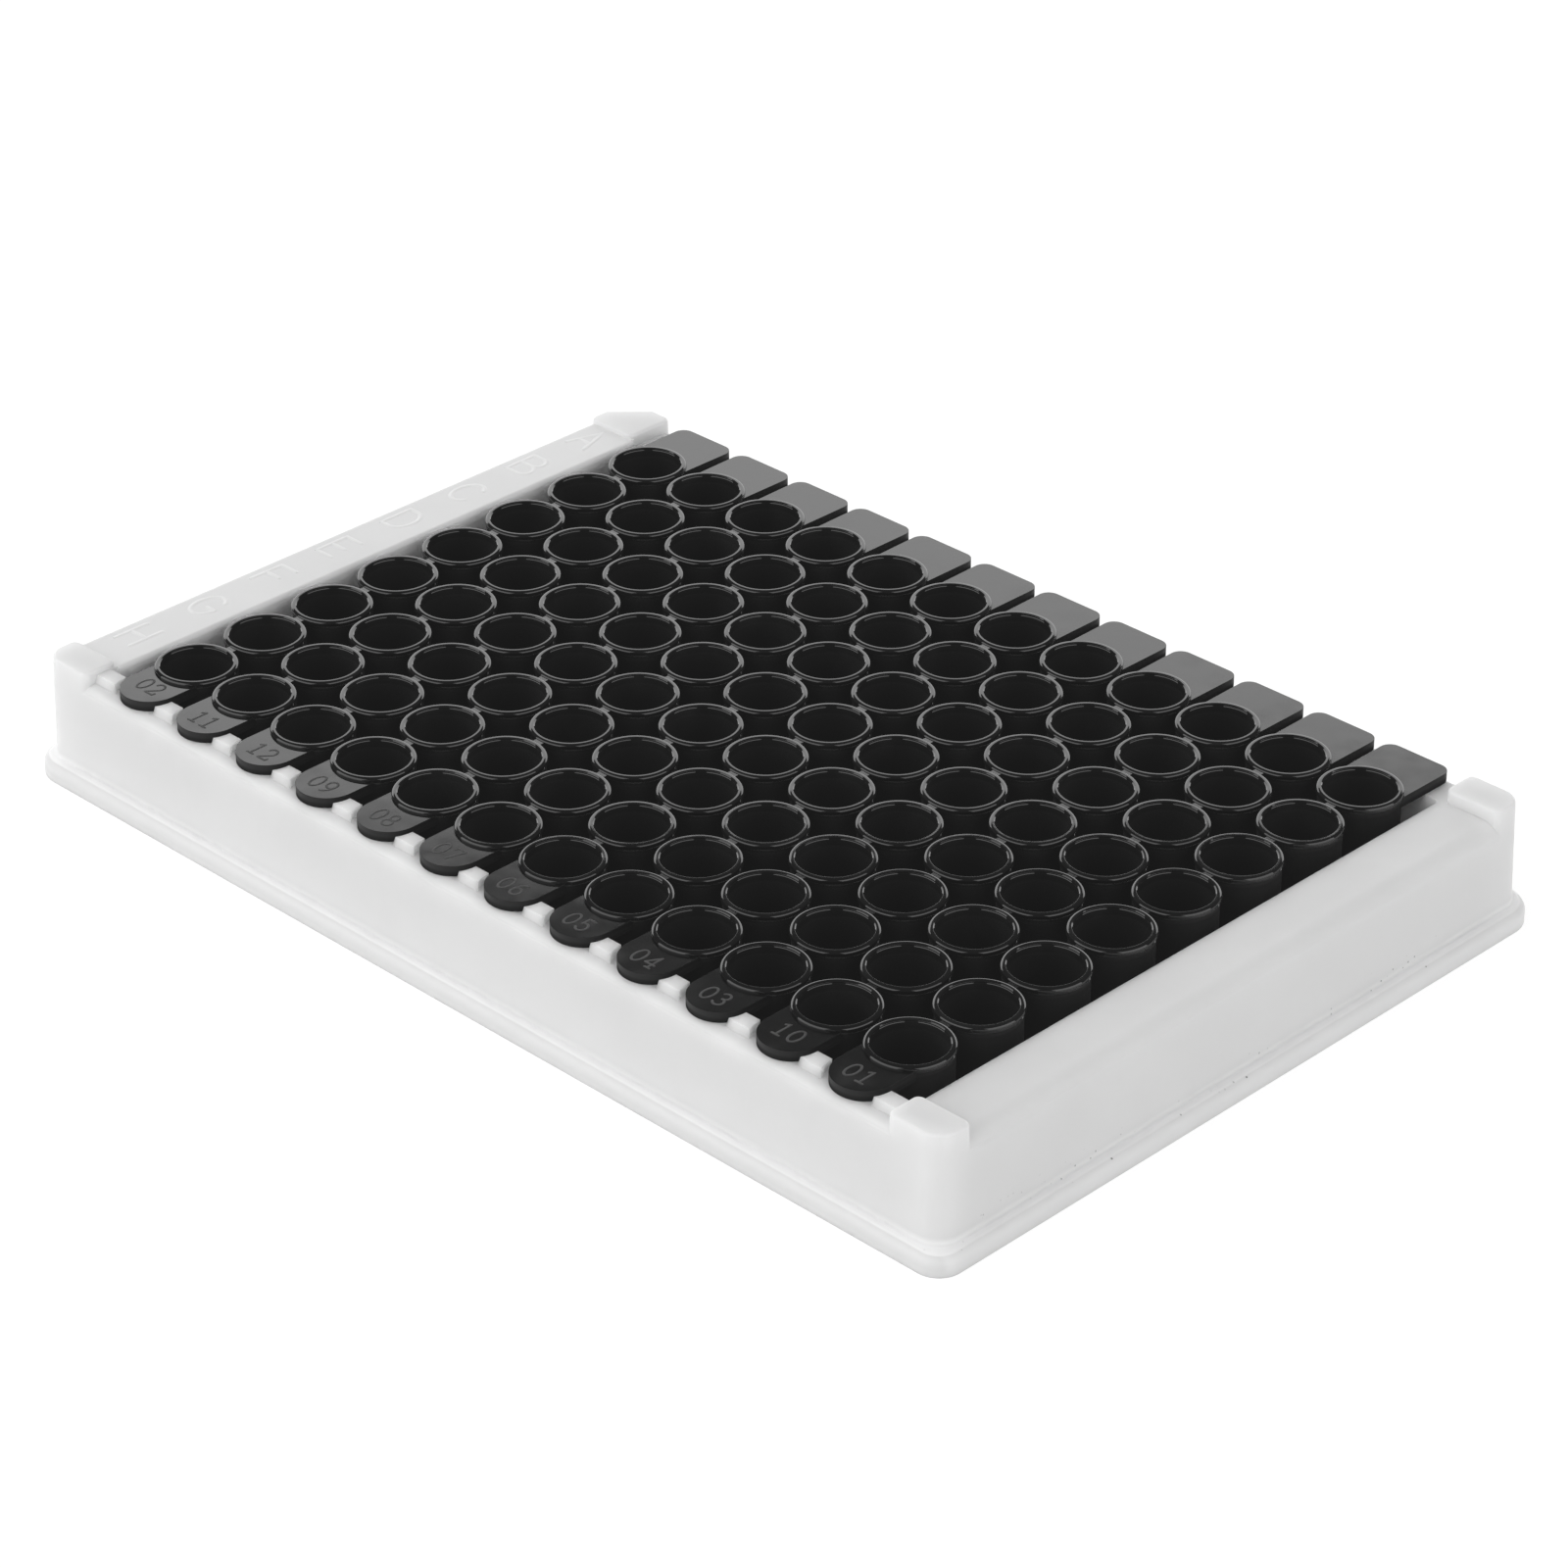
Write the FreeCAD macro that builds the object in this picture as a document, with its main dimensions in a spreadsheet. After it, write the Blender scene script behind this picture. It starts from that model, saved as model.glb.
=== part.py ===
"""Strip well plate: a white open frame that carries twelve loose black strips of eight wells each.

Millimetres. The origin is the middle of the footprint at the bottom. X runs along the long side, from
column 1 to column 12. Y runs from the lettered row H at the front to row A at the back. Z is up.
Every size is a cell of the sheet "Sizes", and every sketch, pad, pocket and pattern is bound to it.
"""
import FreeCAD, Part
import Sketcher
import math
import os

from FreeCAD import Vector

# name, value in mm (or degrees, or a count), what it measures
DIMENSIONS = (
    ("pitch", 9.0, "well spacing, both ways"),
    ("columns", 12, "strips in the frame"),
    ("rows", 8, "wells in a strip"),
    ("rim_gap", 0.46, "air between the rims of neighbouring wells"),
    ("rim_width", 0.67, "flat ring on top of a well"),
    ("rim_overhang", 0.18, "how far the rim stands out from the well's wall"),
    ("rim_depth", 0.55, "height of the upright band of the rim"),
    ("rim_flare", 0.2, "height of the slope under the rim"),
    ("rim_rise", 1.5, "rim above the seat that the tabs rest on"),
    ("well_depth", 10.5, "rim to the inside of the floor"),
    ("floor_thickness", 1.0, "floor of a well"),
    ("web_width", 1.1, "plate that joins neighbouring wells"),
    ("web_drop", 0.2, "rim to the top of that plate"),
    ("web_height", 7.3, "height of that plate"),
    ("tab_thickness", 1.1, "tabs at the two ends of a strip"),
    ("front_tab_gap", 2.6, "air between neighbouring front tabs"),
    ("back_tab_gap", 1.1, "air between neighbouring back tabs"),
    ("back_tab_corner", 1.3, "corner radius of a back tab"),
    ("back_tab_rest", 4.15, "length of a back tab on its ledge"),
    ("front_tab_rest", 2.8, "length of a front tab on its ledge"),
    ("tab_clearance", 0.42, "air between a front tab and the posts beside it"),
    ("seat_height", 12.0, "front ledge, back ledge and right rail above the table"),
    ("side_gap", 1.15, "outermost well pitch cell to the opening, left and right"),
    ("front_gap", 6.2, "axis of the front wells to the opening"),
    ("back_gap", 5.2, "axis of the back wells to the opening"),
    ("side_rail", 8.73, "opening to the footprint's edge, left and right"),
    ("front_ledge", 5.04, "opening to the footprint's edge, front"),
    ("back_ledge", 6.04, "opening to the footprint's edge, back"),
    ("opening_corner", 0.6, "corner radius of the opening"),
    ("footprint_corner", 4.0, "corner radius of the skirt in plan"),
    ("front_right_corner", 2.6, "corner radius of the skirt at its front right"),
    ("skirt_height", 2.05, "skirt at the foot of the frame"),
    ("skirt_rounding", 0.9, "rounding of the skirt's top edge"),
    ("skirt_step", 1.35, "skirt to the wall's foot"),
    ("skirt_fillet", 0.2, "fillet between the skirt and the wall"),
    ("wall_draft", 2.1, "lean of the outer wall, in degrees"),
    ("wall_thickness", 1.25, "outer wall"),
    ("cavity_corner", 5.6, "corner radius of the hollow under the frame"),
    ("corner_cut", 4.5, "legs of the cut that marks the corner of well A1, at the wall's foot"),
    ("deck_thickness", 1.3, "ledges and rails"),
    ("apron_thickness", 1.1, "inner wall round the opening"),
    ("apron_lift", 3.5, "inner wall's foot above the table"),
    ("block_rise", 1.45, "corner blocks above the seat"),
    ("block_offset", 0.45, "opening to the side of a corner block"),
    ("block_overlap", 0.8, "how far a front block passes the front of the opening"),
    ("block_setback", 0.2, "back of the opening to the right back block"),
    ("long_block_overlap", 1.8, "how far the left back block passes the back of the opening"),
    ("block_corner", 0.8, "upright edges of a corner block"),
    ("block_rounding", 0.35, "top edges of a corner block"),
    ("left_rail_rise", 0.88, "left rail above the seat"),
    ("right_rail_rounding", 1.9, "outer top edge of the right rail"),
    ("left_rail_rounding", 0.9, "outer top edge of the left rail"),
    ("ledge_rounding", 1.25, "outer top edge of the front and back ledges"),
    ("post_rise", 0.9, "posts between the front tabs, above the seat"),
    ("post_reach", 2.0, "posts from the opening towards the front"),
    ("post_slope", 0.25, "slope of a post's front"),
)

NEAR = 1e-4  # two places this close are one place

# Lengths that follow from the sheet, as expressions.
RIM_RADIUS = "((Sizes.pitch - Sizes.rim_gap) / 2)"
BORE_RADIUS = f"({RIM_RADIUS} - Sizes.rim_width)"
BODY_RADIUS = f"({RIM_RADIUS} - Sizes.rim_overhang)"
RIM_TOP = "(Sizes.seat_height + Sizes.rim_rise)"
WELL_FLOOR = f"({RIM_TOP} - Sizes.well_depth)"
WELL_BOTTOM = f"({WELL_FLOOR} - Sizes.floor_thickness)"
WEB_BOTTOM = f"({RIM_TOP} - Sizes.web_drop - Sizes.web_height)"
LAST_ROW = "((Sizes.rows - 1) / 2 * Sizes.pitch)"
LAST_COLUMN = "((Sizes.columns - 1) / 2 * Sizes.pitch)"
TAB_RADIUS = "((Sizes.pitch - Sizes.front_tab_gap) / 2)"
BACK_TAB_HALF = "((Sizes.pitch - Sizes.back_tab_gap) / 2)"
POCKET_RADIUS = f"({TAB_RADIUS} + Sizes.tab_clearance)"

OPENING_SIDE = "(Sizes.columns / 2 * Sizes.pitch + Sizes.side_gap)"
OPENING_FRONT = f"({LAST_ROW} + Sizes.front_gap)"
OPENING_BACK = f"({LAST_ROW} + Sizes.back_gap)"
FOOT_SIDE = f"({OPENING_SIDE} + Sizes.side_rail)"
FOOT_FRONT = f"({OPENING_FRONT} + Sizes.front_ledge)"
FOOT_BACK = f"({OPENING_BACK} + Sizes.back_ledge)"
WALL_SIDE = f"({FOOT_SIDE} - Sizes.skirt_step)"
WALL_FRONT = f"({FOOT_FRONT} - Sizes.skirt_step)"
WALL_BACK = f"({FOOT_BACK} - Sizes.skirt_step)"
WALL_CORNER = "(Sizes.footprint_corner - Sizes.skirt_step)"
BLOCK_TOP = "(Sizes.seat_height + Sizes.block_rise)"
BLOCK_SIDE = f"({OPENING_SIDE} + Sizes.block_offset)"
FRONT_BLOCK = f"({OPENING_FRONT} - Sizes.block_overlap)"
BACK_BLOCK = f"({OPENING_BACK} + Sizes.block_setback)"
LONG_BLOCK = f"({OPENING_BACK} - Sizes.long_block_overlap)"
DECK_UNDERSIDE = "(Sizes.seat_height - Sizes.deck_thickness)"
DEEPEST_ROUNDING = "max(Sizes.right_rail_rounding; Sizes.ledge_rounding; Sizes.left_rail_rounding)"


def make_sheet(doc):
    """The driving dimensions, one row each: name, value, note."""
    sheet = doc.addObject("Spreadsheet::Sheet", "Sizes")
    for row, (name, value, note) in enumerate(DIMENSIONS, start=1):
        sheet.set(f"A{row}", name)
        sheet.set(f"B{row}", str(value))
        sheet.set(f"C{row}", note)
        sheet.setAlias(f"B{row}", name)
    doc.recompute()
    return sheet


def size(owner, expression):
    """The number that an expression of the sheet stands for."""
    return float(owner.evalExpression(expression))


def add_sketch(body, name, plane="XY_Plane", **offsets):
    """A sketch on one of the body's origin planes, moved by expressions along its own x, y and z."""
    sketch = body.newObject("Sketcher::SketchObject", name)
    origin_plane = next(item for item in body.Origin.OriginFeatures if item.Role == plane)
    sketch.AttachmentSupport = (origin_plane, "")
    sketch.MapMode = "FlatFace"
    for axis, expression in offsets.items():
        sketch.setExpression(f"AttachmentOffset.Base.{axis}", expression)
    return sketch


def bind(sketch, name, expression, *constraint):
    """Adds a dimensional constraint, starting at its true value, and ties it to the sheet."""
    index = sketch.addConstraint(Sketcher.Constraint(*constraint, size(sketch, expression)))
    sketch.renameConstraint(index, name)
    sketch.setExpression(f"Constraints.{name}", expression)


def add_outline(sketch, corners):
    """A closed outline of straight edges. Each corner is a pair of expressions, x and y."""
    points = [Vector(size(sketch, across), size(sketch, along), 0) for across, along in corners]
    following = points[1:] + points[:1]
    edges = [
        sketch.addGeometry(Part.LineSegment(start, end)) for start, end in zip(points, following)
    ]
    for edge, after in zip(edges, edges[1:] + edges[:1]):
        sketch.addConstraint(Sketcher.Constraint("Coincident", edge, 2, after, 1))
    for number, (edge, (across, along)) in enumerate(zip(edges, corners)):
        bind(sketch, f"across{number}", across, "DistanceX", -1, 1, edge, 1)
        bind(sketch, f"along{number}", along, "DistanceY", -1, 1, edge, 1)


def add_rounded_box(sketch, left, right, front, back, radius, name="box", front_right=None):
    """A rectangle with round corners. The four sides and the radius are expressions.

    The front right corner can have a radius of its own.
    """
    west, east, south, north = (size(sketch, side) for side in (left, right, front, back))
    bend = size(sketch, radius)
    first = size(sketch, front_right or radius)
    corners = (
        (east - first, south + first, first),
        (east - bend, north - bend, bend),
        (west + bend, north - bend, bend),
        (west + bend, south + bend, bend),
    )
    arcs, sides = [], []
    for number, (across, along, turn) in enumerate(corners):
        circle = Part.Circle(Vector(across, along, 0), Vector(0, 0, 1), turn)
        start = (number - 1) * math.pi / 2
        arcs.append(sketch.addGeometry(Part.ArcOfCircle(circle, start, start + math.pi / 2)))
    for arc in arcs[2:]:
        sketch.addConstraint(Sketcher.Constraint("Equal", arcs[1], arc))
    for arc, after in zip(arcs, arcs[1:] + arcs[:1]):
        start, end = sketch.getPoint(arc, 2), sketch.getPoint(after, 1)
        sides.append(sketch.addGeometry(Part.LineSegment(start, end)))
        sketch.addConstraint(Sketcher.Constraint("Tangent", arc, 2, sides[-1], 1))
        sketch.addConstraint(Sketcher.Constraint("Tangent", sides[-1], 2, after, 1))
    for side, direction in zip(sides, ("Vertical", "Horizontal", "Vertical", "Horizontal")):
        sketch.addConstraint(Sketcher.Constraint(direction, side))
    bind(sketch, f"{name}_bend", radius, "Radius", arcs[1])
    bind(sketch, f"{name}_front_right", front_right or radius, "Radius", arcs[0])
    bind(sketch, f"{name}_right", right, "DistanceX", -1, 1, sides[0], 1)
    bind(sketch, f"{name}_back", back, "DistanceY", -1, 1, sides[1], 1)
    bind(sketch, f"{name}_left", left, "DistanceX", -1, 1, sides[2], 1)
    bind(sketch, f"{name}_front", front, "DistanceY", -1, 1, sides[3], 1)


def add_round_tab(sketch, radius, root, centre):
    """A tab from its root to a half-round end towards -Y. The centre is that of the round end."""
    half, start, middle = (size(sketch, value) for value in (radius, root, centre))
    circle = Part.Circle(Vector(0, middle, 0), Vector(0, 0, 1), half)
    end = sketch.addGeometry(Part.ArcOfCircle(circle, math.pi, 2 * math.pi))
    right = sketch.addGeometry(Part.LineSegment(Vector(half, middle, 0), Vector(half, start, 0)))
    base = sketch.addGeometry(Part.LineSegment(Vector(half, start, 0), Vector(-half, start, 0)))
    left = sketch.addGeometry(Part.LineSegment(Vector(-half, start, 0), Vector(-half, middle, 0)))
    sketch.addConstraint(Sketcher.Constraint("Tangent", end, 2, right, 1))
    sketch.addConstraint(Sketcher.Constraint("Coincident", right, 2, base, 1))
    sketch.addConstraint(Sketcher.Constraint("Coincident", base, 2, left, 1))
    sketch.addConstraint(Sketcher.Constraint("Tangent", left, 2, end, 1))
    sketch.addConstraint(Sketcher.Constraint("Vertical", right))
    sketch.addConstraint(Sketcher.Constraint("Horizontal", base))
    sketch.addConstraint(Sketcher.Constraint("PointOnObject", end, 3, -2))
    bind(sketch, "radius", radius, "Radius", end)
    bind(sketch, "centre", centre, "DistanceY", -1, 1, end, 3)
    bind(sketch, "root", root, "DistanceY", -1, 1, base, 1)


def add_circle(sketch, radius, across="0", along="0"):
    """A circle whose radius and centre are expressions."""
    centre = Vector(size(sketch, across), size(sketch, along), 0)
    circle = sketch.addGeometry(Part.Circle(centre, Vector(0, 0, 1), size(sketch, radius)))
    bind(sketch, "radius", radius, "Radius", circle)
    bind(sketch, "across", across, "DistanceX", -1, 1, circle, 3)
    bind(sketch, "along", along, "DistanceY", -1, 1, circle, 3)


def add_feature(body, kind, name, sketch, **settings):
    """A pad or pocket of a sketch. Text settings are expressions, others are plain values."""
    feature = body.newObject(f"PartDesign::{kind}", name)
    feature.Profile = sketch
    for setting, value in settings.items():
        if isinstance(value, str):
            feature.setExpression(setting, value)
        else:
            setattr(feature, setting, value)
    body.Document.recompute()
    return feature


def add_pattern(body, name, feature, role, count):
    """Repeats a feature at the well pitch along one of the body's origin axes."""
    axis = next(item for item in body.Origin.OriginFeatures if item.Role == role)
    pattern = body.newObject("PartDesign::LinearPattern", name)
    pattern.Originals = [feature]
    pattern.Direction = (axis, [""])
    pattern.setExpression("Occurrences", count)
    pattern.setExpression("Length", f"({count} - 1) * Sizes.pitch")
    body.Tip = pattern
    body.Document.recompute()
    return pattern


def add_fillet(body, name, radius, picks):
    """Rounds the edges of the body so far that the test picks."""
    base = body.Tip
    names = [f"Edge{number}" for number, edge in enumerate(base.Shape.Edges, 1) if picks(edge)]
    fillet = body.newObject("PartDesign::Fillet", name)
    fillet.Base = (base, names)
    fillet.setExpression("Radius", radius)
    body.Document.recompute()
    return fillet


def lies_at(edge, height):
    """True for an edge that lies flat at a height."""
    box = edge.BoundBox
    return abs(box.ZMin - height) < NEAR and abs(box.ZMax - height) < NEAR


def stands(edge):
    """True for an edge that is taller than it is long."""
    box = edge.BoundBox
    return box.ZLength > max(box.XLength, box.YLength)


def reach(edge, way):
    """How far the nearest point of an edge lies from the middle, towards one side."""
    box = edge.BoundBox
    return {"left": -box.XMax, "right": box.XMin, "front": -box.YMax, "back": box.YMin}[way]


def make_frame(doc):
    """The moulded frame: skirt, leaning wall, ledges, rails, corner blocks, posts and inner apron."""
    body = doc.addObject("PartDesign::Body", "strip_frame")
    body.Label = "strip_frame"

    sketch = add_sketch(body, "skirt_outline")
    add_rounded_box(
        sketch,
        f"-{FOOT_SIDE}",
        FOOT_SIDE,
        f"-{FOOT_FRONT}",
        FOOT_BACK,
        "Sizes.footprint_corner",
        front_right="Sizes.front_right_corner",
    )
    add_feature(body, "Pad", "skirt", sketch, Length="Sizes.skirt_height")
    skirt_top = size(body, "Sizes.skirt_height")
    add_fillet(body, "skirt_edge", "Sizes.skirt_rounding", lambda edge: lies_at(edge, skirt_top))

    sketch = add_sketch(body, "wall_outline", z="Sizes.skirt_height")
    add_rounded_box(sketch, f"-{WALL_SIDE}", WALL_SIDE, f"-{WALL_FRONT}", WALL_BACK, WALL_CORNER)
    wall_height = f"{BLOCK_TOP} - Sizes.skirt_height"
    add_feature(body, "Pad", "wall", sketch, Length=wall_height, TaperAngle="-Sizes.wall_draft")

    sketch = add_sketch(body, "corner_cut_outline", z=BLOCK_TOP)
    across, along = f"-({WALL_SIDE} - Sizes.corner_cut)", f"{WALL_BACK} - Sizes.corner_cut"
    add_outline(sketch, [(f"-{WALL_SIDE}", along), (across, WALL_BACK), (f"-{WALL_SIDE}", WALL_BACK)])
    add_feature(body, "Pocket", "corner_cut", sketch, Length=wall_height)

    wall_foot = size(body, WALL_SIDE) + NEAR
    add_fillet(
        body,
        "skirt_root",
        "Sizes.skirt_fillet",
        lambda edge: lies_at(edge, skirt_top)
        and max(edge.BoundBox.XMax, -edge.BoundBox.XMin) < wall_foot,
    )

    sketch = add_sketch(body, "opening_outline", z=BLOCK_TOP)
    add_rounded_box(
        sketch,
        f"-{OPENING_SIDE}",
        OPENING_SIDE,
        f"-{OPENING_FRONT}",
        OPENING_BACK,
        "Sizes.opening_corner",
    )
    add_feature(body, "Pocket", "opening", sketch, Length=BLOCK_TOP)

    cut_rails(body)
    round_edges(body)
    add_posts(body)
    hollow_underside(body)
    return body


def cut_rails(body):
    """Lowers everything between the corner blocks to the level of the ledges and rails."""
    left_block, right_block = f"-{BLOCK_SIDE}", BLOCK_SIDE
    front_block = f"-{FRONT_BLOCK}"
    to_seat = "Sizes.block_rise"
    to_left_rail = "Sizes.block_rise - Sizes.left_rail_rise"
    cuts = (
        ("front_ledge", left_block, right_block, f"-{FOOT_FRONT}", front_block, to_seat),
        ("back_ledge", left_block, right_block, LONG_BLOCK, FOOT_BACK, to_seat),
        ("right_rail", OPENING_SIDE, FOOT_SIDE, front_block, BACK_BLOCK, to_seat),
        ("left_rail", f"-{FOOT_SIDE}", f"-{OPENING_SIDE}", front_block, LONG_BLOCK, to_left_rail),
    )
    for name, left, right, front, back, depth in cuts:
        sketch = add_sketch(body, f"{name}_outline", z=BLOCK_TOP)
        add_outline(sketch, [(left, front), (right, front), (right, back), (left, back)])
        add_feature(body, "Pocket", name, sketch, Length=depth)


def round_edges(body):
    """Rounds the outer edges of the ledges and rails, then the corner blocks' uprights and tops."""
    seat = size(body, "Sizes.seat_height")
    left_rail = size(body, "Sizes.seat_height + Sizes.left_rail_rise")
    block_top = size(body, BLOCK_TOP)
    side_middle = f"{OPENING_SIDE} + Sizes.side_rail / 2"
    front_middle = f"{OPENING_FRONT} + Sizes.front_ledge / 2"
    back_middle = f"{OPENING_BACK} + Sizes.back_ledge / 2"
    rails = (
        ("right", "Sizes.right_rail_rounding", seat, side_middle),
        ("left", "Sizes.left_rail_rounding", left_rail, side_middle),
        ("front", "Sizes.ledge_rounding", seat, front_middle),
        ("back", "Sizes.ledge_rounding", seat, back_middle),
    )
    for way, radius, height, middle in rails:
        middle = size(body, middle)
        add_fillet(
            body,
            f"{way}_edge",
            radius,
            lambda edge: lies_at(edge, height) and reach(edge, way) > middle,
        )

    lowest = seat - size(body, DEEPEST_ROUNDING)
    add_fillet(
        body,
        "block_uprights",
        "Sizes.block_corner",
        lambda edge: stands(edge) and edge.BoundBox.ZMin > lowest and edge.BoundBox.ZMax > block_top - NEAR,
    )
    add_fillet(body, "block_tops", "Sizes.block_rounding", lambda edge: lies_at(edge, block_top))


def add_posts(body):
    """A bar along the front ledge, cut into posts by the round pockets of the front tabs."""
    inner, outer = f"-{OPENING_FRONT}", f"-({OPENING_FRONT} + Sizes.post_reach)"
    seat = "Sizes.seat_height"
    top = "Sizes.seat_height + Sizes.post_rise"
    brink = f"{outer} + Sizes.post_slope"
    sketch = add_sketch(body, "post_profile", "YZ_Plane", z=f"-{BLOCK_SIDE}")
    add_outline(sketch, [(outer, seat), (inner, seat), (inner, top), (brink, top)])
    add_feature(body, "Pad", "post_bar", sketch, Length=f"2 * {BLOCK_SIDE}")

    sketch = add_sketch(body, "tab_pocket_outline", z=top)
    add_circle(sketch, POCKET_RADIUS, f"-{LAST_COLUMN}", inner)
    pocket = add_feature(body, "Pocket", "tab_pocket", sketch, Length="Sizes.post_rise")
    add_pattern(body, "tab_pockets", pocket, "X_Axis", "Sizes.columns")


def hollow_underside(body):
    """Hollows the frame from below, which leaves the outer wall, and hangs the apron from the deck."""
    sketch = add_sketch(body, "cavity_outline")
    add_rounded_box(
        sketch,
        f"-({WALL_SIDE} - Sizes.wall_thickness)",
        f"{WALL_SIDE} - Sizes.wall_thickness",
        f"-({WALL_FRONT} - Sizes.wall_thickness)",
        f"{WALL_BACK} - Sizes.wall_thickness",
        "Sizes.cavity_corner",
    )
    add_feature(
        body,
        "Pocket",
        "cavity",
        sketch,
        Length=DECK_UNDERSIDE,
        TaperAngle="-Sizes.wall_draft",
        Reversed=True,
    )
    sketch = add_sketch(body, "apron_outline", z="Sizes.apron_lift")
    for step, name in (("0", "inside"), ("Sizes.apron_thickness", "outside")):
        add_rounded_box(
            sketch,
            f"-({OPENING_SIDE} + {step})",
            f"{OPENING_SIDE} + {step}",
            f"-({OPENING_FRONT} + {step})",
            f"{OPENING_BACK} + {step}",
            f"Sizes.opening_corner + {step}",
            name,
        )
    add_feature(body, "Pad", "apron", sketch, Length=f"{DECK_UNDERSIDE} - Sizes.apron_lift")


def make_strip(doc, number):
    """One strip: eight cups joined by a plate, with a round tab in front and a square one behind."""
    body = doc.addObject("PartDesign::Body", f"strip_{number:02d}")
    body.Label = body.Name
    body.setExpression("Placement.Base.x", f"{number - 1} * Sizes.pitch - {LAST_COLUMN}")
    front_row, back_row = f"-{LAST_ROW}", LAST_ROW

    sketch = add_sketch(body, "cup_profile", "YZ_Plane", x=front_row)
    flare_foot = f"{RIM_TOP} - Sizes.rim_depth - Sizes.rim_flare"
    profile = [
        ("0", WELL_BOTTOM),
        (BODY_RADIUS, WELL_BOTTOM),
        (BODY_RADIUS, flare_foot),
        (RIM_RADIUS, f"{RIM_TOP} - Sizes.rim_depth"),
        (RIM_RADIUS, RIM_TOP),
        ("0", RIM_TOP),
    ]
    add_outline(sketch, profile)
    cup = add_feature(body, "Revolution", "cup", sketch, ReferenceAxis=(sketch, ["V_Axis"]))
    add_pattern(body, "cups", cup, "Y_Axis", "Sizes.rows")

    sketch = add_sketch(body, "web_outline", z=WEB_BOTTOM)
    half_web = "Sizes.web_width / 2"
    left, right = f"-{half_web}", half_web
    add_outline(sketch, [(left, front_row), (right, front_row), (right, back_row), (left, back_row)])
    add_feature(body, "Pad", "web", sketch, Length="Sizes.web_height")

    sketch = add_sketch(body, "front_tab_outline", z="Sizes.seat_height")
    front_centre = f"-({OPENING_FRONT} + Sizes.front_tab_rest - {TAB_RADIUS})"
    add_round_tab(sketch, TAB_RADIUS, front_row, front_centre)
    add_feature(body, "Pad", "front_tab", sketch, Length="Sizes.tab_thickness")

    sketch = add_sketch(body, "back_tab_outline", z="Sizes.seat_height")
    back_end = f"{OPENING_BACK} + Sizes.back_tab_rest"
    add_rounded_box(
        sketch, f"-{BACK_TAB_HALF}", BACK_TAB_HALF, back_row, back_end, "Sizes.back_tab_corner"
    )
    add_feature(body, "Pad", "back_tab", sketch, Length="Sizes.tab_thickness")

    sketch = add_sketch(body, "bore_outline", z=RIM_TOP)
    add_circle(sketch, BORE_RADIUS, "0", front_row)
    bore = add_feature(body, "Pocket", "bore", sketch, Length="Sizes.well_depth")
    add_pattern(body, "bores", bore, "Y_Axis", "Sizes.rows")
    return body


def check_objects(doc, bodies):
    """Stops the build if any object failed or any body isn't one sound solid."""
    for item in doc.Objects:
        if "Invalid" in item.State or "Error" in item.State:
            raise RuntimeError(f"{item.Name} failed: {item.State}")
    for body in bodies:
        shape = body.Shape
        if shape.isNull() or not shape.isValid() or len(shape.Solids) != 1:
            raise RuntimeError(f"{body.Label} isn't one valid solid")


def main():
    doc = FreeCAD.newDocument("strip_well_plate")
    sheet = make_sheet(doc)
    columns = int(size(sheet, "Sizes.columns"))
    bodies = [make_frame(doc)]
    bodies += [make_strip(doc, number) for number in range(1, columns + 1)]
    doc.recompute()
    check_objects(doc, bodies)
    os.makedirs("parts", exist_ok=True)
    for body in bodies:
        body.Shape.exportStep(f"parts/{body.Label}.step")
        print(f"{body.Label}: {body.Shape.Volume:.1f} mm3")


main()
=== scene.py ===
"""Looks of the strip well plate: a white carrier frame and twelve loose black strips of eight wells.

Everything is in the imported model's own frame. The carrier is the solid's own surface with its sharp edges
broken. The strips are worked out afresh, with the fine roundings that a moulding has, and carry their
numbers. Lengths are millimetres here, and become metres as each mesh is made. Only the lights and the
camera's range are given in metres.
"""
import logging
import math
from dataclasses import dataclass, field
from enum import Enum, IntEnum

import bmesh
import bpy
import numpy as np
from mathutils import Matrix, Vector


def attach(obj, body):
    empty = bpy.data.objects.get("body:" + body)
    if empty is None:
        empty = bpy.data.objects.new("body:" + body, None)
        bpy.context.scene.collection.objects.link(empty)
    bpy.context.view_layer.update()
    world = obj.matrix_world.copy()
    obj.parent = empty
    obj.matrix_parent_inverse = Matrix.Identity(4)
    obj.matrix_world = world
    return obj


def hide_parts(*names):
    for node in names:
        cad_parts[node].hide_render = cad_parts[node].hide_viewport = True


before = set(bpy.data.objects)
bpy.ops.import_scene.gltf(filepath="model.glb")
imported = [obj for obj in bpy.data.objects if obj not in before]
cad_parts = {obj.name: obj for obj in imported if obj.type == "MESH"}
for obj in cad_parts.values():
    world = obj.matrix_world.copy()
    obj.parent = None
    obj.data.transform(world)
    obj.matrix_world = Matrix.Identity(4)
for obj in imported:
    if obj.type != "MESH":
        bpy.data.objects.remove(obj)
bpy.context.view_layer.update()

log = logging.getLogger("well_plate")

MM = 0.001
BODY = "root"
TURN = 2 * math.pi
PITCH = 9.0
ROWS = "ABCDEFGH"
COLUMNS = 12
WELD = 1e-7  # metres: points of a new mesh that are nearer than this become one
SOLID_WELD = 1e-6  # metres: the same for the solid's own triangles

Color = tuple[float, float, float, float]
Point = tuple[float, float]
Span = tuple[float, float]


# ---------------------------------------------------------------- shader expressions


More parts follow.
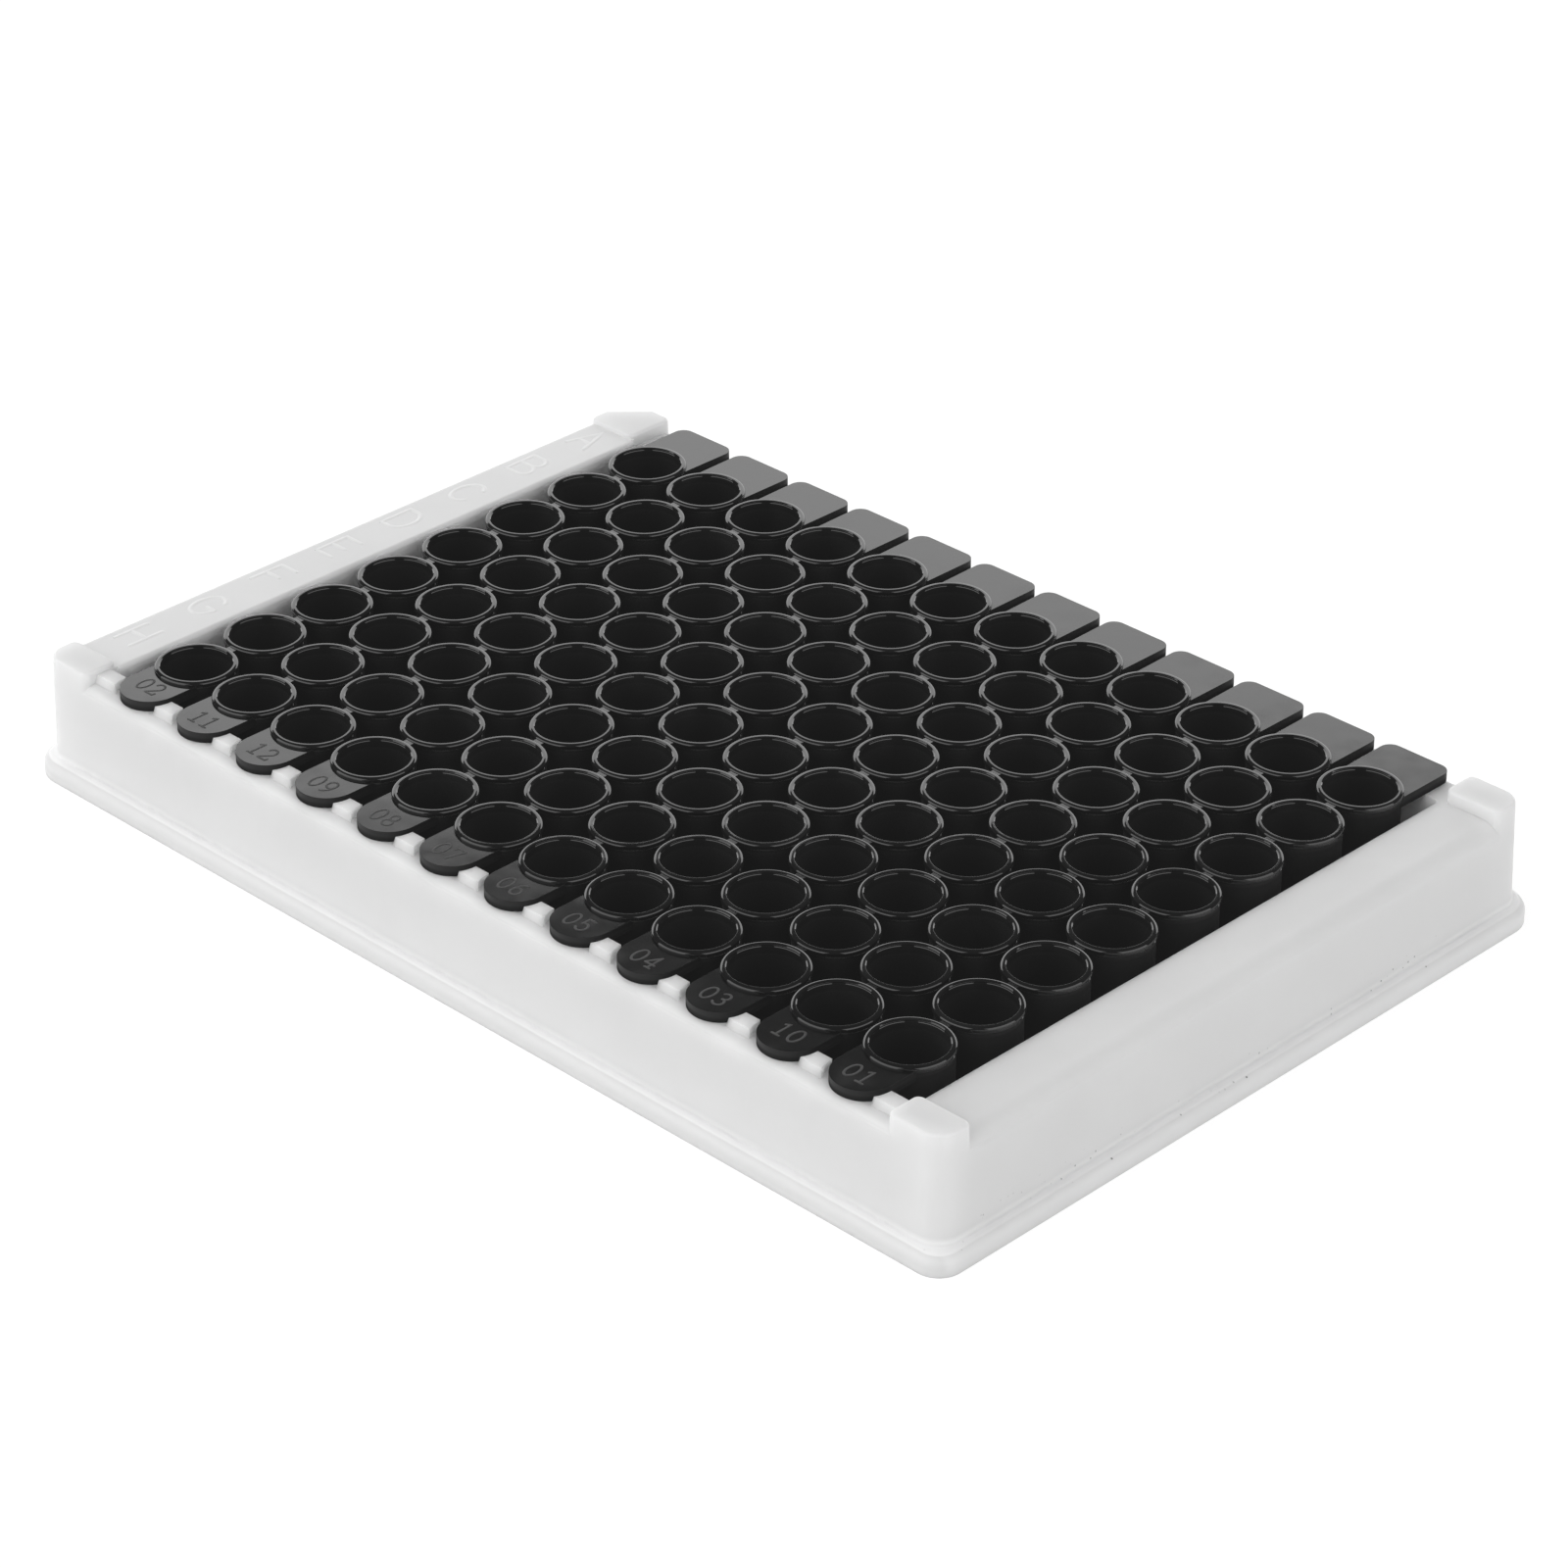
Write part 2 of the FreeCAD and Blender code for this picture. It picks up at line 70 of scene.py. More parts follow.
class Value:
    """One output socket of a shader tree, with arithmetic that adds Math nodes."""

    def __init__(self, shader: "Shader", socket: bpy.types.NodeSocket | None) -> None:
        """Keeps the socket and the shader that it belongs to."""
        self.shader = shader
        self.socket = socket

    def _math(self, operation: str, *terms: "Value | float") -> "Value":
        """One Math node of the terms."""
        return self.shader.node("ShaderNodeMath", dict(enumerate(terms)), operation=operation)

    def __add__(self, other: "Value | float") -> "Value":
        """The sum."""
        return self._math("ADD", self, other)

    def __radd__(self, other: float) -> "Value":
        """The sum, with a plain number first."""
        return self._math("ADD", other, self)

    def __sub__(self, other: "Value | float") -> "Value":
        """The difference."""
        return self._math("SUBTRACT", self, other)

    def __rsub__(self, other: float) -> "Value":
        """The difference, with a plain number first."""
        return self._math("SUBTRACT", other, self)

    def __mul__(self, other: "Value | float") -> "Value":
        """The product."""
        return self._math("MULTIPLY", self, other)

    def __rmul__(self, other: float) -> "Value":
        """The product, with a plain number first."""
        return self._math("MULTIPLY", other, self)

    def most(self, other: "Value | float") -> "Value":
        """The larger of the two."""
        return self._math("MAXIMUM", self, other)

    def ramp(self, low: float, high: float, start: float = 0.0, end: float = 1.0) -> "Value":
        """A smooth step from start at low to end at high. It falls where low is the greater.

        Args:
            low: the value where the step begins.
            high: the value where it ends.
            start: what the step gives at low.
            end: what it gives at high.

        Returns:
            The stepped value.
        """
        sockets = {"Value": self, "From Min": low, "From Max": high, "To Min": start, "To Max": end}
        return self.shader.node("ShaderNodeMapRange", sockets, interpolation_type="SMOOTHSTEP")


class Shader:
    """A node tree that is written as expressions."""

    # A Mix node's colour sockets share their names with its other sockets, so they go by number.
    MIX_FIRST = 6
    MIX_SECOND = 7
    MIX_RESULT = 2
    # A speck is whole out to this part of its radius, and the choice of cells is this soft.
    SPECK_CORE = 0.6
    PICK_WIDTH = 0.01

    def __init__(self, tree: bpy.types.NodeTree) -> None:
        """Empties the tree."""
        self.tree = tree
        tree.nodes.clear()

    def node(
        self, kind: str, sockets: dict | None = None, output: int | str = 0, **settings: object
    ) -> Value:
        """Adds one node.

        Args:
            kind: the node's type.
            sockets: input name or number, and the number, colour or Value that it gets.
            output: the output socket that is wanted.
            settings: the node's own settings, which are set first.

        Returns:
            The wanted output, or a Value without a socket where the node has none.
        """
        node = self.tree.nodes.new(kind)
        for name, value in settings.items():
            setattr(node, name, value)
        for key, value in (sockets or {}).items():
            if isinstance(value, Value):
                self.tree.links.new(value.socket, node.inputs[key])
            else:
                node.inputs[key].default_value = value
        return Value(self, node.outputs[output] if node.outputs else None)

    def place(self) -> Value:
        """Object coordinates in millimetres."""
        here = self.node("ShaderNodeTexCoord", output="Object")
        return self.node("ShaderNodeMapping", {"Vector": here, "Scale": (1 / MM,) * 3})

    def axis(self, name: str) -> Value:
        """One of the object coordinates in millimetres: X across, Y along or Z up."""
        return self.node("ShaderNodeSeparateXYZ", {"Vector": self.place()}, output=name)

    def noise(self, size: float, detail: float) -> Value:
        """Noise whose grains are about size millimetres across."""
        sockets = {"Vector": self.place(), "Scale": 1 / size, "Detail": detail}
        return self.node("ShaderNodeTexNoise", sockets)

    def specks(self, spacing: float, size: float, share: float) -> Value:
        """Round specks, about one in every spacing-wide cell that the share keeps.

        Args:
            spacing: distance between cells, in millimetres.
            size: radius of a speck, in millimetres.
            share: part of the cells that hold one, from 0 to 1.

        Returns:
            A mask that is 1 inside a speck.
        """
        sockets = {"Vector": self.place(), "Scale": 1 / spacing}
        near = self.node("ShaderNodeTexVoronoi", sockets, output="Distance")
        shade = self.node("ShaderNodeTexVoronoi", sockets, output="Color")
        chosen = self.node("ShaderNodeSeparateColor", {"Color": shade}).ramp(share, share - self.PICK_WIDTH)
        return near.ramp(size / spacing, self.SPECK_CORE * size / spacing) * chosen

    def blend(self, share: Value, first: Color | Value, second: Color | Value) -> Value:
        """A colour between two, by a share."""
        sockets = {"Factor": share, self.MIX_FIRST: first, self.MIX_SECOND: second}
        return self.node("ShaderNodeMix", sockets, output=self.MIX_RESULT, data_type="RGBA")

    def bump(self, height: Value, depth: float, onto: Value | None = None) -> Value:
        """A normal that tilts with a height.

        Args:
            height: the relief, from 0 to 1.
            depth: how deep a relief of 1 is, in millimetres.
            onto: another normal that this one is laid over.

        Returns:
            The tilted normal.
        """
        sockets = {"Height": height, "Distance": depth * MM, "Strength": 1.0}
        if onto is not None:
            sockets["Normal"] = onto
        return self.node("ShaderNodeBump", sockets)

    def surface(self, sockets: dict) -> None:
        """Ends the tree in one plastic surface."""
        plastic = self.node("ShaderNodeBsdfPrincipled", sockets)
        self.node("ShaderNodeOutputMaterial", {"Surface": plastic})


def grey(level: float) -> Color:
    """A linear grey."""
    return (level, level, level, 1.0)


def new_material(name: str) -> tuple[bpy.types.Material, Shader]:
    """Starts a material.

    Args:
        name: the material's name.

    Returns:
        The material, and the shader that writes its tree.
    """
    material = bpy.data.materials.new(name)
    material.use_nodes = True
    return material, Shader(material.node_tree)


@dataclass(frozen=True)
class CarrierPlastic:
    """White moulded plastic, satin, with a few dirt specks along the right skirt.

    It is painted paler in the groove at the skirt's root, a painted light where shade falls. It is painted a
    shade darker on the corner blocks' tops and on the front skirt, painted shade that tones down how brightly
    they are lit. A span says where a tone begins and where it is full, in millimetres along its axis.
    """

    name: str = "white_carrier_plastic"
    level: float = 0.80
    shade: float = 0.775
    painted_groove_light: float = 0.95
    painted_block_top_shade: float = 0.755
    painted_front_skirt_shade: float = 0.72
    dirt_level: float = 0.10
    dirt_cover: float = 0.85
    roughness: float = 0.42
    rough_spread: float = 0.04
    translucency: float = 1.0
    scatter: float = 3.0
    groove_light_above: Span = (1.93, 2.03)
    groove_light_below: Span = (2.9, 2.2)
    block_top_shade_above: Span = (13.0, 13.6)
    front_skirt_shade_side: Span = (-41.2, -41.8)
    front_skirt_shade_above: Span = (0.3, 0.9)
    front_skirt_shade_below: Span = (2.0, 1.9)
    dirty_side: Span = (60.0, 62.5)
    dirty_below: Span = (4.5, 1.8)

    def make(self) -> bpy.types.Material:
        """Writes the finish.

        Returns:
            The material.
        """
        material, shader = new_material(self.name)
        across, along, height = (shader.axis(name) for name in "XYZ")
        cloud = shader.noise(size=14.0, detail=3.0).ramp(0.35, 0.65)
        tone = shader.blend(cloud, grey(self.shade), grey(self.level))
        # painted light: the groove at the skirt's root is painted paler, in place of the shade that falls
        # there
        root = height.ramp(*self.groove_light_above) * height.ramp(*self.groove_light_below)
        tone = shader.blend(root, tone, grey(self.painted_groove_light))
        # painted shade: the corner blocks' tops are painted darker, to tone down how brightly they are lit
        tone = shader.blend(height.ramp(*self.block_top_shade_above), tone, grey(self.painted_block_top_shade))
        # painted shade: the front skirt's shoulder is painted darker, to tone down the light that it catches
        skirt = height.ramp(*self.front_skirt_shade_above) * height.ramp(*self.front_skirt_shade_below)
        front = along.ramp(*self.front_skirt_shade_side) * skirt
        tone = shader.blend(front, tone, grey(self.painted_front_skirt_shade))
        patches = shader.noise(size=11.0, detail=1.0).ramp(0.47, 0.56)
        dirty = across.ramp(*self.dirty_side) * height.ramp(*self.dirty_below) * patches
        dirt = dirty * shader.specks(spacing=0.8, size=0.13, share=0.5)
        grain = shader.noise(size=0.35, detail=2.0)
        waves = shader.bump(shader.noise(size=9.0, detail=1.0), depth=0.035)
        smooth, rough = self.roughness - self.rough_spread, self.roughness + self.rough_spread
        shader.surface(
            {
                "Base Color": shader.blend(dirt * self.dirt_cover, tone, grey(self.dirt_level)),
                "Roughness": grain.ramp(0.3, 0.7, smooth, rough),
                "IOR": 1.5,
                "Subsurface Weight": self.translucency,
                "Subsurface Radius": (self.scatter,) * 3,
                "Subsurface Scale": MM,
                "Normal": shader.bump(grain, depth=0.004, onto=waves),
            }
        )
        return material


@dataclass(frozen=True)
class StripPlastic:
    """Black moulded plastic, semi-gloss, with faint sink waves, smears and dust, and a faint painted glow
    that lifts its blacks.

    It is matt lower down: the span says at what heights that begins and where it is full.
    """

    name: str = "black_strip_plastic"
    level: float = 0.003
    smear_level: float = 0.008
    dust_level: float = 0.12
    dust_cover: float = 0.8
    dust_roughness: float = 0.4
    painted_glow: float = 0.008
    roughness: float = 0.09
    rough_spread: float = 0.06
    matt: float = 0.45
    matt_below: Span = (12.7, 12.2)
    specular: float = 0.5

    def make(self) -> bpy.types.Material:
        """Writes the finish.

        Returns:
            The material.
        """
        material, shader = new_material(self.name)
        smear = shader.noise(size=5.0, detail=4.0).ramp(0.45, 0.75)
        tone = shader.blend(smear, grey(self.level), grey(self.smear_level))
        dust = shader.specks(spacing=2.6, size=0.07, share=0.10)
        rough = smear * self.rough_spread + self.roughness
        matt = shader.axis("Z").ramp(*self.matt_below) * self.matt
        waves = shader.bump(shader.noise(size=3.2, detail=1.0), depth=0.007)
        grain = shader.noise(size=0.25, detail=2.0)
        shader.surface(
            {
                "Base Color": shader.blend(dust * self.dust_cover, tone, grey(self.dust_level)),
                "Roughness": rough + dust * self.dust_roughness + matt,
                # painted light: a faint glow of its own that lifts the black plastic's darks
                "Emission Color": grey(self.painted_glow),
                "Emission Strength": 1.0,
                "IOR": 1.59,
                "Specular IOR Level": self.specular,
                "Normal": shader.bump(grain, depth=0.0004, onto=waves),
            }
        )
        return material


@dataclass(frozen=True)
class FrostedPlastic:
    """The matt face of the strips' moulded numbers."""

    name: str = "frosted_number_plastic"
    level: float = 0.030
    sparkle: float = 1.5
    roughness: float = 0.55
    rough_spread: float = 0.08

    def make(self) -> bpy.types.Material:
        """Writes the finish.

        Returns:
            The material.
        """
        material, shader = new_material(self.name)
        grain = shader.noise(size=0.12, detail=3.0)
        bright = grey(self.level * self.sparkle)
        smooth, rough = self.roughness - self.rough_spread, self.roughness + self.rough_spread
        shader.surface(
            {
                "Base Color": shader.blend(grain.ramp(0.3, 0.7), grey(self.level), bright),
                "Roughness": grain.ramp(0.2, 0.8, smooth, rough),
                "IOR": 1.59,
                "Normal": shader.bump(grain, depth=0.006),
            }
        )
        return material


# ---------------------------------------------------------------- surfaces


def grid_faces(rows: int, columns: int, wrap: bool) -> np.ndarray:
    """Quads of a grid of points, numbered row by row.

    Args:
        rows: rows of points.
        columns: points in a row.
        wrap: joins the last column to the first.

    Returns:
        The four corners of each quad.
    """
    across = columns if wrap else columns - 1
    row, column = np.meshgrid(np.arange(rows - 1), np.arange(across), indexing="ij")
    after = (column + 1) % columns
    corners = (row * columns + column, row * columns + after)
    above = ((row + 1) * columns + after, (row + 1) * columns + column)
    return np.stack(corners + above, axis=-1).reshape(-1, 4)


def round_corners(corners: np.ndarray, radii: np.ndarray, steps: int, margin: float) -> np.ndarray:
    """A polyline with each inner corner turned into an arc.

    An arc of radius r in a corner of half angle h starts r / tan(h) from the corner, and its centre lies
    r / sin(h) away along the bisector. Its points go from one tangent point to the other at even angles. One
    more point stands a margin before it and one after it, which keeps the shading of the flats flat.

    Args:
        corners: the polyline, one row per point.
        radii: one radius per point; those of the two ends aren't used.
        steps: segments of an arc.
        margin: how far the two extra points stand from the arc.

    Returns:
        The points of the rounded line: one for each end, and steps + 3 for each inner corner.
    """
    middle, radius = corners[1:-1], radii[1:-1, None]
    back = corners[:-2] - middle
    ahead = corners[2:] - middle
    back = back / np.linalg.norm(back, axis=1, keepdims=True)
    ahead = ahead / np.linalg.norm(ahead, axis=1, keepdims=True)
    half = np.arccos(np.clip((back * ahead).sum(1, keepdims=True), -1, 1)) / 2
    bisector = back + ahead
    bisector = bisector / np.linalg.norm(bisector, axis=1, keepdims=True)
    centre = middle + bisector * radius / np.sin(half)
    reach = radius / np.tan(half)
    start, end = middle + back * reach, middle + ahead * reach
    sweep = (math.pi - 2 * half)[:, :, None]
    share = np.linspace(0, 1, steps + 1)[None, :, None]
    arc = np.sin((1 - share) * sweep) * (start - centre)[:, None]
    arc = arc + np.sin(share * sweep) * (end - centre)[:, None]
    arc = arc / np.sin(sweep) + centre[:, None]
    before, after = (start + back * margin)[:, None], (end + ahead * margin)[:, None]
    inner = np.concatenate((before, arc, after), axis=1).reshape(-1, corners.shape[1])
    return np.concatenate((corners[:1], inner, corners[-1:]))


@dataclass
class Shell:
    """Surfaces gathered in millimetres until they are made into one mesh object."""

    points: list[np.ndarray] = field(default_factory=list)
    faces: list[tuple[int, ...]] = field(default_factory=list)
    finishes: list[int] = field(default_factory=list)

    def add_grid(
        self, grid: np.ndarray, wrap: bool = False, finish: int = 0, caps: int | None = None
    ) -> None:
        """Adds a grid of points as quads.

        Args:
            grid: points, rows by columns by three.
            wrap: joins the last column to the first.
            finish: number of the material.
            caps: closes the first and last rows with one face each, of this material.
        """
        rows, columns = grid.shape[:2]
        base = sum(len(block) for block in self.points)
        new = (grid_faces(rows, columns, wrap) + base).tolist()
        self.finishes += [finish] * len(new)
        if caps is not None:
            new.append(list(range(base + columns - 1, base - 1, -1)))
            new.append(list(range(base + (rows - 1) * columns, base + rows * columns)))
            self.finishes += [caps] * 2
        self.points.append(grid.reshape(-1, 3))
        self.faces += [tuple(face) for face in new]

    def add_prism(self, outline: np.ndarray, bottom: float, top: float, sides: int, caps: int) -> None:
        """Adds a flat outline as a block: its points at the lower height, then again at the upper one.

        Args:
            outline: the points, x and y, anticlockwise.
            bottom: the lower height.
            top: the upper height.
            sides: number of the sides' material.
            caps: number of the material of the top and the bottom.
        """
        heights = np.array([bottom, top])[:, None, None]
        heights = np.broadcast_to(heights, (2, len(outline), 1))
        flat = np.broadcast_to(outline, (2, *outline.shape))
        self.add_grid(np.concatenate((flat, heights), axis=2), wrap=True, finish=sides, caps=caps)

    def make(self, name: str, materials: list[bpy.types.Material], crease: float) -> bpy.types.Object:
        """Makes the mesh object.

        Args:
            name: the piece's name.
            materials: its materials, in the order of the finish numbers.
            crease: angle in degrees above which an edge stays sharp.

        Returns:
            The object, at the origin.
        """
        mesh = bpy.data.meshes.new(name)
        mesh.from_pydata((np.concatenate(self.points) * MM).tolist(), [], self.faces)
        for material in materials:
            mesh.materials.append(material)
        mesh.polygons.foreach_set("material_index", self.finishes)
        return place_mesh(name, mesh, crease)


def place_mesh(name: str, mesh: bpy.types.Mesh, crease: float) -> bpy.types.Object:
    """Merges a mesh's doubles, turns its faces outwards, shades it smooth and links it as a piece.

    Args:
        name: the piece's name.
        mesh: the mesh, in metres.
        crease: angle in degrees above which an edge stays sharp.

    Returns:
        The object, at the origin.
    """
    work = bmesh.new()
    work.from_mesh(mesh)
    bmesh.ops.remove_doubles(work, verts=work.verts, dist=WELD)
    bmesh.ops.recalc_face_normals(work, faces=work.faces)
    work.to_mesh(mesh)
    work.free()
    mesh.shade_smooth()
    mesh.set_sharp_from_angle(angle=math.radians(crease))
    piece = bpy.data.objects.new(name, mesh)
    bpy.context.scene.collection.objects.link(piece)
    log.info("%s: %d faces", name, len(mesh.polygons))
    return piece


def break_edges(piece: bpy.types.Object, width: float, angle: float, segments: int) -> None:
    """Gives the piece's sharp edges the small radius of a moulding.

    Args:
        piece: the object.
        width: width of the bevel, in millimetres.
        angle: angle in degrees above which an edge is broken.
        segments: faces across the bevel.
    """
    bevel = piece.modifiers.new("broken_edges", "BEVEL")
    bevel.width = width * MM
    bevel.segments = segments
    bevel.limit_method = "ANGLE"
    bevel.angle_limit = math.radians(angle)
    bevel.harden_normals = True
    bevel.use_clamp_overlap = True


# ---------------------------------------------------------------- lettering


@dataclass(frozen=True)
class Line:
    """A straight stroke from (x, y) to (to_x, to_y), in the unit box of its letter."""

    x: float
    y: float
    to_x: float
    to_y: float

    def path(self) -> np.ndarray:
        """Its two ends."""
        return np.array([(self.x, self.y), (self.to_x, self.to_y)], dtype=float)


@dataclass(frozen=True)
class Bow:
    """A curved stroke: part of an ellipse, in the unit box of its letter.

    Its point at angle a is (x + rx cos a, y + ry sin a), and a goes from start to end, in degrees.
    """

    x: float
    y: float
    rx: float
    ry: float
    start: float = 0.0
    end: float = 360.0
    steps: int = 28

    def path(self) -> np.ndarray:
        """Works out its centre line.

        Returns:
            The points, x and y.
        """
        share = np.linspace(0, 1, self.steps + 1)[:, None]
        angle = np.radians(self.start + (self.end - self.start) * share)
        return np.hstack((self.x + self.rx * np.cos(angle), self.y + self.ry * np.sin(angle)))


STROKES: dict[str, tuple[Line | Bow, ...]] = {
    "0": (Bow(0.5, 0.5, 0.42, 0.5),),
    "1": (Line(0.52, 1, 0.52, 0), Line(0.2, 0, 0.86, 0), Line(0.22, 0.86, 0.52, 1)),
    "2": (
        Bow(0.5, 0.71, 0.4, 0.29, 165, -38),
        Line(0.81, 0.53, 0.1, 0.02),
        Line(0.1, 0, 0.92, 0),
        Line(0.92, 0, 0.95, 0.17),
    ),
    "3": (Bow(0.46, 0.76, 0.36, 0.24, 150, -90), Bow(0.46, 0.27, 0.41, 0.27, 90, -150)),
    "4": (
        Line(0.7, 1, 0.7, 0),
        Line(0.7, 1, 0.05, 0.3),
        Line(0.05, 0.3, 0.97, 0.3),
        Line(0.46, 0, 0.92, 0),
    ),
    "5": (Line(0.86, 1, 0.22, 1), Line(0.22, 1, 0.17, 0.53), Bow(0.46, 0.32, 0.42, 0.32, 132, -150)),
    "6": (Bow(0.5, 0.3, 0.4, 0.3), Bow(0.86, 0.34, 0.76, 0.66, 180, 100)),
    "7": (Line(0.08, 1, 0.92, 1), Line(0.08, 1, 0.08, 0.82), Line(0.92, 1, 0.42, 0)),
    "8": (Bow(0.5, 0.76, 0.33, 0.24), Bow(0.5, 0.26, 0.42, 0.26)),
    "9": (Bow(0.5, 0.7, 0.4, 0.3), Bow(0.14, 0.66, 0.76, 0.66, 0, -80)),
    "A": (Line(0, 0, 0.5, 1), Line(0.5, 1, 1, 0), Line(0.18, 0.34, 0.82, 0.34)),
    "B": (
        Line(0, 0, 0, 1),
        Line(0, 1, 0.55, 1),
        Line(0, 0.52, 0.6, 0.52),
        Line(0, 0, 0.6, 0),
        Bow(0.55, 0.76, 0.36, 0.24, 90, -90),
        Bow(0.6, 0.26, 0.4, 0.26, 90, -90),
    ),
    "C": (Bow(0.52, 0.5, 0.52, 0.5, 42, 318),),
    "D": (Line(0, 0, 0, 1), Line(0, 1, 0.4, 1), Line(0, 0, 0.4, 0), Bow(0.4, 0.5, 0.58, 0.5, 90, -90)),
    "E": (Line(0, 0, 0, 1), Line(0, 1, 0.85, 1), Line(0, 0.5, 0.75, 0.5), Line(0, 0, 0.85, 0)),
    "F": (Line(0, 0, 0, 1), Line(0, 1, 0.85, 1), Line(0, 0.5, 0.72, 0.5)),
    "G": (Bow(0.52, 0.5, 0.52, 0.5, 42, 350), Line(1.02, 0.42, 0.6, 0.42)),
    "H": (Line(0, 0, 0, 1), Line(0.9, 0, 0.9, 1), Line(0, 0.5, 0.9, 0.5)),
}


@dataclass(frozen=True)
class Lettering:
    """Raised characters made of rounded ridges."""

    width: float
    height: float
    stroke: float
    rise: float
    advance: float = 0.0
    fullness: float = 0.35
    sink: float = 0.05
    shoulder_place: float = 0.7
    shoulder_waist: float = 0.72
    points_across: int = 9

    def _ridge(self, path: np.ndarray, top: float) -> np.ndarray:
        """A ridge along a flat path.

        A point of the ridge is the path's point, plus the path's normal times the offset across, at the
        height of a rounded back: rise times (1 - offset squared) to the power fullness. The path is
        lengthened by half a stroke at each end, where a shoulder and a point draw the ridge in, so both ends
        are round and closed. The two sides go down by the sink into the face below.

        Args:
            path: the centre line, x and y.
            top: height of the face that carries it.

        Returns:
            The grid of points, one row per place along the path.
        """
        ahead = np.gradient(path, axis=0)
        ahead = ahead / np.linalg.norm(ahead, axis=1, keepdims=True)
        half = self.stroke / 2
        first, last = ahead[:1] * half, ahead[-1:] * half
        start = (path[:1] - first, path[:1] - first * self.shoulder_place)
        end = (path[-1:] + last * self.shoulder_place, path[-1:] + last)
        spine = np.concatenate((*start, path, *end))
        ahead = np.concatenate((ahead[:1], ahead[:1], ahead, ahead[-1:], ahead[-1:]))
        across = np.stack((ahead[:, 1], -ahead[:, 0]), axis=1)
        waist = np.ones(len(spine))
        waist[[0, -1]] = 0.0
        waist[[1, -2]] = self.shoulder_waist
        offset = np.cos(np.linspace(0, math.pi, self.points_across))
        rise = self.rise * (1 - offset**2) ** self.fullness
        offset = np.concatenate((offset[:1], offset, offset[-1:]))
        rise = np.concatenate((rise[:1] - self.sink, rise, rise[-1:] - self.sink))
        flat = spine[:, None] + across[:, None] * (offset[None, :, None] * waist[:, None, None] * half)
        level = np.where(rise > 0, rise * np.sqrt(waist)[:, None], rise)
        return np.concatenate((flat, (top + level)[:, :, None]), axis=2)

    def write(self, shell: Shell, text: str, middle: Point, top: float, finish: int = 0) -> None:
        """Adds a text, upright towards +Y, centred on a point.

        Args:
            shell: the mesh that gets it.
            text: the characters, one advance from each other.
            middle: its centre, x and y.
            top: height of the face that carries it.
            finish: number of the material.
        """
        box = np.array([self.width, self.height])
        for number, character in enumerate(text):
            shift = (number - (len(text) - 1) / 2) * self.advance
            corner = np.array(middle) + np.array([shift, 0]) - box / 2
            for stroke in STROKES[character]:
                ridge = self._ridge(corner + stroke.path() * box, top)
                shell.add_grid(ridge, wrap=True, finish=finish)


# ---------------------------------------------------------------- the carrier


